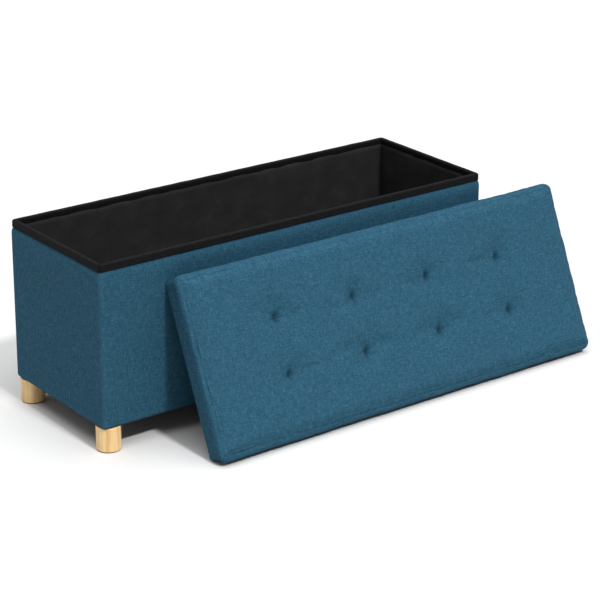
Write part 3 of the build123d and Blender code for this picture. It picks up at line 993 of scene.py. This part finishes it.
def lid_placement():
    """The lid's own frame: length X, width Y from the edge on the floor, height Z from the open rim."""
    turn = Matrix.Rotation(math.pi / 2 - LEAN_FROM_VERTICAL, 4, "X")
    rotation = np.array(turn)[:3, :3]
    outside = [*(f"lid_{s}_boxing" for s in SIDES), "lid_top_cover"]
    local = np.concatenate([node_points(name) @ rotation for name in outside])
    low, high = local.min(0), local.max(0)
    origin = np.array([(low[0] + high[0]) / 2, low[1], low[2]])
    return turn @ Matrix.Translation(origin), rotation, origin, high - low


LID, LID_ROTATION, LID_ORIGIN, LID_SIZE = lid_placement()
LID_LENGTH, LID_WIDTH, LID_HEIGHT = LID_SIZE
PLACES = {"box": Matrix.Identity(4), "lid": LID}


def lid_box(node):
    """Lowest and highest corner of a CAD node in the lid's frame."""
    local = node_points(node) @ LID_ROTATION - LID_ORIGIN
    return local.min(0), local.max(0)


BOARD_BOTTOM = lid_box("lid_board")[0][2]
BOARD_TOP = lid_box("lid_board")[1][2]
RECESS = lid_box("lid_front_skirt_lining")[1][2]
SKIRT_WALL = lid_box("lid_front_skirt_lining")[1][1]


def tuft_centres():
    """The middle of each tuft, from the box round the washers."""
    low, high = lid_box("tuft_washers")
    xs = np.linspace(low[0] + WASHER_RADIUS, high[0] - WASHER_RADIUS, TUFTS_LONG)
    ys = np.linspace(low[1] + WASHER_RADIUS, high[1] - WASHER_RADIUS, TUFTS_WIDE)
    return [(x, y) for x in xs for y in ys]


TUFTS = tuft_centres()


def cap_profile():
    """The padded edge in section, as (inset, height), from the seam out and down to the turned hem."""
    t = LID_HEIGHT
    return smooth_profile(
        [
            (SEAM_INSET, t - EDGE_FALL),
            (5.8 * MM, t - 3.9 * MM),
            (2.6 * MM, t - 5.6 * MM),
            (-0.2 * MM, t - 8.0 * MM),
            (-2.5 * MM, t - 11.2 * MM),
            (-3.9 * MM, t - 15.0 * MM),
            (-3.8 * MM, t - 18.0 * MM),
            (-2.6 * MM, t - 21.5 * MM),
            (-1.0 * MM, BOARD_TOP - 1.0 * MM),
            (-0.3 * MM, BOARD_TOP - 6.0 * MM),
            (0.1 * MM, RECESS - 4 * MM),
            (0.0 * MM, 6 * MM),
            (0.1 * MM, 2.4 * MM),
            (0.7 * MM, 0.7 * MM),
            (2.2 * MM, 0.1 * MM),
            (6.0 * MM, 0.1 * MM),
            (SKIRT_WALL - 0.6 * MM, 0.4 * MM),
            (SKIRT_WALL + 0.3 * MM, 1.6 * MM),
        ],
        2.4 * MM,
    )


def cap_radius(inset, height):
    """The plan corner radius of the cap at a level: the padded part is pulled in more than the skirt."""
    padded = np.clip((height - BOARD_TOP) / (LID_HEIGHT - BOARD_TOP), 0, 1)
    outer = LID_CORNER + (PADDED_CORNER - LID_CORNER) * padded
    return np.maximum(outer - inset, 1.2 * MM)


def sagged(points):
    """The cap's points, with the padding of the lower edge let down a little by its own weight."""
    low = np.clip(1 - points[..., 1] / (26 * MM), 0, None) ** 2
    soft = np.clip((points[..., 2] - BOARD_TOP + 4 * MM) / (12 * MM), 0, 1)
    points = points.copy()
    points[..., 1] -= FRONT_SAG * np.minimum(low, 1.2) * soft * soft * (3 - 2 * soft)
    return points


def simulate_cap():
    """Blows the cloth up like a stuffed case over a lattice with square corners.

    Returns the lattice's lines, how far each point of the face and of the sides was carried, and the
    levels of the sides' rows.
    """
    x0, x1 = -LID_LENGTH / 2 + SEAM_INSET, LID_LENGTH / 2 - SEAM_INSET
    y0, y1 = SEAM_INSET, LID_WIDTH - SEAM_INSET
    middle = LID_WIDTH / 2
    xs, ys = (np.linspace(a, b, round((b - a) / SIM_STEP) + 1) for a, b in ((x0, x1), (y0, y1)))
    x, y = np.meshgrid(xs, ys)
    dip = np.zeros(x.shape)
    for cx, cy in TUFTS:
        dip = np.maximum(dip, bell(np.hypot(x - cx, y - cy), 15 * MM))
    face = np.stack([x, y, LID_HEIGHT - 1.4 * MM - 9.0 * MM * dip], axis=-1)
    loop = rim_loop(len(ys), len(xs))
    edge = face[loop[:, 0], loop[:, 1]]
    profile = [(6 * MM, -0.2 * MM), (2.5 * MM, -2.6 * MM), (0.5 * MM, -8 * MM), (0, -15 * MM)]
    levels = [LID_HEIGHT + drop for _, drop in profile] + [BOARD_TOP, BOARD_BOTTOM]
    insets = [inset for inset, _ in profile] + [0, 0]
    sides = []
    for inset, level in zip(insets, levels):
        ring = edge.copy()
        ring[:, 0] *= (LID_LENGTH / 2 - inset) / x1
        ring[:, 1] = middle + (edge[:, 1] - middle) * (middle - inset) / (middle - SEAM_INSET)
        ring[:, 2] = level
        sides.append(ring)
    vertices = np.concatenate([face.reshape(-1, 3), *sides])
    seam = loop[:, 0] * len(xs) + loop[:, 1]
    start, n = x.size, len(loop)
    faces = [tuple(q) for q in grid_faces(len(ys), len(xs))]
    faces += hung_faces(seam, *(start + k * n + np.arange(n) for k in range(len(sides))))
    case = build("cap_case", vertices, faces, Matrix.Identity(4), MATERIALS["linen"])
    held = case.vertex_groups.new(name="held")
    fixed = np.nonzero(vertices[:, 2] < BOARD_TOP + 1 * MM)[0].tolist()
    near = [i for i, p in enumerate(vertices[:start]) if min(math.dist(p[:2], c) for c in TUFTS) < 7 * MM]
    held.add(fixed + near, 1.0, "REPLACE")
    held.add(seam.tolist(), 0.35, "REPLACE")
    cloth_sim = case.modifiers.new("cloth", "CLOTH")
    settings = cloth_sim.settings
    settings.quality = 6
    settings.mass = 0.25
    settings.tension_stiffness = 40
    settings.compression_stiffness = 40
    settings.shear_stiffness = 20
    settings.bending_stiffness = 1.5
    settings.air_damping = 4
    settings.use_pressure = True
    settings.uniform_pressure_force = 4.0
    settings.effector_weights.gravity = 0
    settings.vertex_group_mass = "held"
    settings.pin_stiffness = 1.0
    settings.shrink_min = -0.004
    cloth_sim.collision_settings.use_self_collision = False
    cloth_sim.point_cache.frame_start, cloth_sim.point_cache.frame_end = 1, SIM_FRAMES
    for number in range(1, SIM_FRAMES + 1):
        bpy.context.scene.frame_set(number)
    shown = case.evaluated_get(bpy.context.evaluated_depsgraph_get())
    carried = mesh_points(shown) - vertices
    bpy.context.scene.frame_set(1)
    bpy.data.objects.remove(case)
    size = np.linalg.norm(carried, axis=1, keepdims=True)
    carried *= np.minimum(1, MOST_LIFT / np.maximum(size, 1e-9))
    return xs, ys, carried[:start].reshape(*x.shape, 3), carried[start:].reshape(len(sides), n, 3), levels


def smooth_sample(field, old_rows, old_columns, rows, columns):
    """A grid's field at other places (rows and columns are arrays of one shape), by smooth blending."""

    def blend(values, old):
        i = np.clip(np.searchsorted(old, values) - 1, 0, len(old) - 2)
        t = np.clip((values - old[i]) / (old[i + 1] - old[i]), 0, 1)
        return i, (t * t * (3 - 2 * t))[..., None]

    r, s = blend(rows, old_rows)
    c, t = blend(columns, old_columns)
    upper = field[r, c] * (1 - t) + field[r, c + 1] * t
    lower = field[r + 1, c] * (1 - t) + field[r + 1, c + 1] * t
    return upper * (1 - s) + lower * s


def tuft_dimples(x, y):
    """How far each point is drawn down to the tufts' level, 0 to 1, and how creased the cloth is there."""
    drawn, crease = np.zeros(x.shape), np.zeros(x.shape)
    rng = np.random.default_rng(17)
    for cx, cy in TUFTS:
        dx, dy = x - cx, y - cy
        angle = np.arctan2(dy, dx)
        tilt = 0.22 + rng.uniform(-0.12, 0.12)
        tall = np.hypot((dx - tilt * dy) / 0.86, dy / 1.18)
        folds = 0.12 * np.cos(5 * angle + rng.uniform(0, FULL_TURN))
        folds += 0.08 * np.cos(7 * angle + rng.uniform(0, FULL_TURN))
        hollow = 1 / (1 + (tall / (15 * MM * (1 + folds))) ** 2.3)
        pinch = 1 / (1 + (tall / (8.2 * MM * (1 + folds))) ** 3.2)
        drawn = np.maximum(drawn, (0.5 * hollow + 0.5 * pinch) * bell(np.hypot(dx, dy), 60 * MM))
        crease = np.maximum(crease, bell(dx - tilt * dy, 2.5 * MM) * bell(dy, 10 * MM))
    return drawn, crease


def face_grid():
    """The lid's face as grid lines from seam to seam, with its corners rounded.

    Returns the points' places, and the shares at which the lines meet the straight sides.
    """
    x0, y0 = -LID_LENGTH / 2 + SEAM_INSET, SEAM_INSET
    x1, y1 = -x0, LID_WIDTH - SEAM_INSET
    turns = CORNER_TURNS // 2
    angles = math.pi / 4 + np.arange(turns + 1) * math.pi / 4 / turns
    near = SEAM_CORNER - SEAM_CORNER * np.cos(angles)
    drop = SEAM_CORNER - SEAM_CORNER * np.sin(angles)
    grid, shares = [], []
    for i, (low, high) in enumerate(((x0, x1), (y0, y1))):
        ends = (low + SEAM_CORNER, high - SEAM_CORNER)
        middle = lines(*ends, [*(c[i] for c in TUFTS), *ends], 1.9 * MM, 10 * MM, 0.030)
        shares.append((middle - middle[0]) / (middle[-1] - middle[0]))
        grid.append(np.concatenate([[low], low + near[1:-1], middle, high - near[1:-1][::-1], [high]]))
    x, y = np.meshgrid(*grid)
    for r in range(turns):
        x[r, 0] = x[-1 - r, 0] = x0 + drop[r]
        x[r, -1] = x[-1 - r, -1] = x1 - drop[r]
        y[0, r] = y[0, -1 - r] = y0 + drop[r]
        y[-1, r] = y[-1, -1 - r] = y1 - drop[r]
    return x, y, shares


def add_lid_cap():
    """The lid's woven cap: the tufted top panel and the four boxing strips sewn to it, and the pad inside."""
    x, y, shares = face_grid()
    outline = Outline((-LID_LENGTH / 2, 0), (LID_LENGTH / 2, LID_WIDTH), *shares, end_bulge=0.35)
    profile = cap_profile()
    radii = [float(cap_radius(i, h)) for i, h in profile]
    radii[0] = SEAM_CORNER
    rings = lift_rings(outline, profile, radii)
    face_lift, ring_lift = carried_by_sim(x, y, rings, outline.middles())
    length, width = LID_LENGTH - 2 * SEAM_INSET, LID_WIDTH - 2 * SEAM_INSET
    edge = way_to_edge(x, y, (-length / 2, SEAM_INSET), (length / 2, SEAM_INSET + width)).clip(0)
    drawn, crease = tuft_dimples(x, y)
    groove = 0.12 * MM * bell(edge, 1.3 * MM)
    z = LID_HEIGHT - EDGE_FALL * np.exp(-edge / (9 * MM)) - groove
    points = np.stack([x, y, z], axis=-1) + face_lift * (1 - bell(edge, 6 * MM))[..., None]
    pucker = ripples(201, x, y, 0.016) * bell(edge - 5 * MM, 9 * MM)
    slack = ripples(202, x, y, 0.075)
    points[..., 2] += 0.08 * MM * pucker + 0.15 * MM * slack * (1 - bell(edge, 30 * MM))
    points[..., 2] += (TUFT_LEVEL - points[..., 2]) * drawn - 2.0 * MM * crease * (1 - drawn)
    # painted shade: besides the thin seam line, the seam mark darkens the tuft hollows and their creases
    seam = bell(edge, 1.4 * MM) * 0.08 + drawn**1.2 * 0.8 + crease * 0.6
    wear = bell(edge - 4 * MM, 3 * MM) * 0.10
    points = sagged(points)
    rings = sagged(rings + ring_lift)
    weave = np.stack([x, y], axis=-1)
    panel = cloth("lid_top_cover", "lid", "linen", points, weave, seam, wear, name="lid_top_panel")
    add_boxing_strips(outline, rings, profile)
    spare = 1.8 * MM * bell(edge, 7 * MM) + 3.5 * MM * drawn
    add_foam_pad(points, spare, rings, profile)


def carried_by_sim(x, y, rings, ends):
    """What the simulation adds to the fine face and the fine rings."""
    xs, ys, face, sides, levels = simulate_cap()
    face_lift = smooth_sample(face, ys, xs, y, x)
    loop = rim_loop(len(ys), len(xs))
    n = len(loop)
    corner_at = np.array([0, len(xs) - 1, len(xs) + len(ys) - 2, 2 * len(xs) + len(ys) - 3, n])
    middle = LID_WIDTH / 2
    px = np.clip(rings[..., 0] / (LID_LENGTH / 2), -1, 1)
    py = np.clip((rings[..., 1] - middle) / middle, -1, 1)
    place = np.zeros(rings.shape[:2])
    index = np.arange(rings.shape[1])
    for k in range(4):
        on = (index >= ends[k]) & (index < ends[k + 1])
        share = ((px + 1) / 2, (py + 1) / 2, (1 - px) / 2, (1 - py) / 2)[k]
        place[:, on] = (corner_at[k] + share * (corner_at[k + 1] - corner_at[k]))[:, on]
    closed = np.concatenate([sides, sides[:, :1]], axis=1)
    order = np.argsort(levels)
    height = np.clip(rings[..., 2], levels[-1], levels[0])
    lift = smooth_sample(closed[order], np.array(levels)[order], np.arange(n + 1.0), height, place)
    free = np.clip((rings[..., 2] - BOARD_TOP) / (6 * MM), 0, 1)[..., None]
    return face_lift, lift * free * 0.8


def add_boxing_strips(outline, rings, profile):
    """The four boxing strips, sewn at the corners and turned in under the skirt."""
    past_corner = 12
    for k, side, points, outward, u, end in each_side(outline, rings, rows=-1):
        w = points[..., 2]
        inset = np.broadcast_to(profile[::-1, 0][:, None], w.shape)
        padded = w > BOARD_TOP
        from_seam = np.where(padded, np.abs(inset - SEAM_INSET), 1.0)
        free = 1 - bell(end, 9 * MM)
        turned = np.clip((inset - 2 * MM) / (3 * MM), 0, 1) * (w < 5 * MM)
        wave = 0.25 * MM * ripples(221 + k, u, w, 0.075) * free * (1 - bell(w, 8 * MM)) * (1 - turned)
        pucker = 0.10 * MM * ripples(231 + k, u, w * 0.3, 0.013) * bell(from_seam - 3 * MM, 5 * MM) * free
        hem = 0.12 * MM * ripples(241 + k, u, w, 0.03) * turned
        corner = bell(end, 1.2 * MM)
        points = points + (wave + pucker + hem - 0.5 * MM * corner)[..., None] * outward
        points[..., 2] = np.maximum(points[..., 2], 0.05 * MM)
        if side == "front":
            floor_there = -points[..., 2] * math.tan(LEAN_FROM_VERTICAL)
            points[..., 1] = np.maximum(points[..., 1], floor_there + 0.1 * MM)
        seam = bell(from_seam, 1.3 * MM) * 0.08 + corner * 0.4
        wear = bell(inset - 3.2 * MM, 2.2 * MM) * padded * 0.12
        weave = strip_weave(points, 0.29 * k)
        piece = cloth(f"lid_{side}_boxing", "lid", "linen", points, weave, seam, wear)
        cut = (float(u[-1, -1]) + 20 * MM, float(lengths(points, 0)[-1, past_corner]) + 12 * MM)


def add_foam_pad(points, spare, rings, profile):
    """The foam pad: the cap's own shape, set in by the cloth's thickness, with a flat underside on the board.

    spare is how much lower than that it stays, at the seam and under the tufts, where the cloth is creased.
    """
    gap, bottom = CLOTH + 0.8 * MM, BOARD_TOP + 0.2 * MM
    closed = np.concatenate([rings[:, -1:], rings, rings[:, :1]], axis=1)
    outward = -face_normals(closed)[:, 1:-1]
    face = points - gap * face_normals(points)
    face[..., 2] = np.maximum(face[..., 2] - spare, BOARD_TOP + 3 * MM)
    padded = [i for i, (_, height) in enumerate(profile) if height > BOARD_TOP - 0.5 * MM][1::2]
    sides = []
    for i in padded:
        tight = 1.2 * MM * bell(profile[i, 0] - SEAM_INSET, 6 * MM)
        sides.append(rings[i] - (gap + tight) * outward[i])
    sides.append(sides[-1].copy())
    under = face.copy()
    sides[-1][:, 2] = under[..., 2] = bottom
    rows, columns = face.shape[:2]
    loop = rim_loop(rows, columns)
    edge = loop[:, 0] * columns + loop[:, 1]
    count, n = rows * columns, len(loop)
    base = count + len(sides) * n
    quads = grid_faces(rows, columns)
    faces = [tuple(q) for q in quads] + [tuple(q[::-1] + base) for q in quads]
    faces += hung_faces(edge, *(count + k * n + np.arange(n) for k in range(len(sides))), base + edge)
    vertices = np.concatenate([face.reshape(-1, 3), *sides, under.reshape(-1, 3)])
    pad = build("lid_foam_pad", vertices, faces, LID, MATERIALS["foam"])
    finish_piece(pad, "lid", "foam", "lid_foam")


def add_lid_ceiling():
    """The black lining of the lid's recess, over the board."""
    lo, hi = lid_box("lid_underside_lining")
    low, high = lo[:2] + 1.7 * MM, hi[:2] - 1.7 * MM
    points, weave, end = (grid[::-1] for grid in flat_cloth(low, high, RECESS + 0.1 * MM, 14 * MM))
    x, y = points[..., 0], points[..., 1]
    humps = np.zeros(x.shape)
    for cx, cy in TUFTS:
        away = np.hypot(x - cx, y - cy)
        humps = np.maximum(humps, 1 / (1 + (away / (WASHER_RADIUS * 1.05)) ** 10))
    drop = (0.5 * MM + 0.55 * MM * ripples(251, x, y, 0.10)) * (1 - bell(end, 20 * MM)) + 0.35 * MM * humps
    points[..., 2] -= np.clip(drop, 0, None)
    seam, wear = bell(end, 3 * MM), humps * 0.25 + ripples(252, x, y, 0.06) * 0.25
    piece = cloth("lid_underside_lining", "lid", "nonwoven", points, weave, seam, wear, THIN_CLOTH)


def add_skirt_linings():
    """The black linings of the four inner faces of the lid's skirt."""
    shares = [np.linspace(0, 1, round(s / (14 * MM))) for s in (LID_LENGTH, LID_WIDTH)]
    outline = Outline((-LID_LENGTH / 2, 0), (LID_LENGTH / 2, LID_WIDTH), *shares)
    profile = [(SKIRT_WALL + 0.05 * MM, w) for w in np.linspace(0.9 * MM, RECESS + 0.2 * MM, 10)]
    rings = lift_rings(outline, profile, 2.4 * MM)
    for k, side, points, outward, u, end in each_side(outline, rings, columns=-1):
        w = points[..., 2]
        edge = np.minimum(w, RECESS - w).clip(0)
        free = (1 - bell(end, 12 * MM)) * (1 - bell(edge, 5 * MM))
        points = points + (0.3 * MM * (1 + ripples(261 + k, u, w, 0.05)) * free)[..., None] * outward
        seam, wear = bell(end, 2 * MM) + bell(RECESS - w, 2 * MM), bell(w, 2 * MM) * 0.3
        marked = (strip_weave(points), seam, wear, THIN_CLOTH)
        piece = cloth(f"lid_{side}_skirt_lining", "lid", "nonwoven", points, *marked)


# ---- CAD nodes that stay, the stage, the light and the camera ----
def dress_cad_nodes():
    """Every CAD node that is shown gets its slot's material."""
    for row in frame["record"]["subparts"]:
        node = frame["nodes"][row["node"]]
        node.data.materials.clear()
        node.data.materials.append(MATERIALS[row["material_slot"]])


def add_floor():
    """A wide pale floor."""
    reach = 14.0
    steps = np.linspace(-reach, reach, 15)
    x, y = np.meshgrid(steps, steps)
    points = np.stack([x, y, np.zeros(x.shape)], axis=-1).reshape(-1, 3)
    faces = grid_faces(len(steps), len(steps))
    floor = build("studio_floor", points, faces, Matrix.Identity(4), floor_look())


def add_sun(name, bearing, height, softness, strength):
    """A soft distant light: its bearing from the front towards the right, and its height, in degrees."""
    b, h = math.radians(bearing), math.radians(height)
    towards = Vector((math.sin(b) * math.cos(h), -math.cos(b) * math.cos(h), math.sin(h)))
    data = bpy.data.lights.new(name, "SUN")
    data.angle = math.radians(softness)
    data.energy = strength
    light = bpy.data.objects.new(name, data)
    light.location = towards * 4
    light.rotation_mode = "QUATERNION"
    light.rotation_quaternion = (-towards).to_track_quat("-Z", "Y")
    bpy.context.scene.collection.objects.link(light)


def add_lights():
    """A key in front, a broad light overhead, a soft one from the back left, and a dim surround."""
    add_sun("key", 2, 52, 6, 2.15)
    add_sun("overhead", -8, 86, 60, 2.60)
    add_sun("back_left", -112, 38, 60, 0.15)
    world = bpy.data.worlds.new("studio")
    world.use_nodes = True
    background = world.node_tree.nodes["Background"]
    background.inputs["Color"].default_value = (1, 1, 1, 1)
    background.inputs["Strength"].default_value = 0.22
    bpy.context.scene.world = world


def add_camera():
    """A long lens at the photograph's angle."""
    a, e, r = CAMERA_AZIMUTH, CAMERA_ELEVATION, CAMERA_ROLL
    back = Vector((math.sin(a) * math.cos(e), -math.cos(a) * math.cos(e), math.sin(e)))
    level = Vector((math.cos(a), math.sin(a), 0))
    upright = back.cross(level)
    right = level * math.cos(r) + upright * math.sin(r)
    up = upright * math.cos(r) - level * math.sin(r)
    data = bpy.data.cameras.new("camera")
    data.lens = CAMERA_LENS
    data.sensor_width = 36
    data.clip_end = 60
    camera = bpy.data.objects.new("camera", data)
    turn = Matrix((right, up, back)).transposed().to_4x4()
    middle = (BOX_LOW + BOX_HIGH) / 2
    target = Vector((middle[0], middle[1], 0)) + CAMERA_TARGET_FROM_BOX
    camera.matrix_world = Matrix.Translation(target + back * CAMERA_DISTANCE) @ turn
    bpy.context.scene.collection.objects.link(camera)
    bpy.context.scene.camera = camera


dress_cad_nodes()
add_box_covers()
add_rim_bindings()
add_box_linings()
add_floor_lining()
add_bottom_cloth()
add_lid_cap()
add_lid_ceiling()
add_skirt_linings()
add_floor()
add_lights()
add_camera()

view = bpy.context.scene.view_settings
view.view_transform = "Standard"
view.look = "None"
view.exposure = 0.0
view.gamma = 1.0
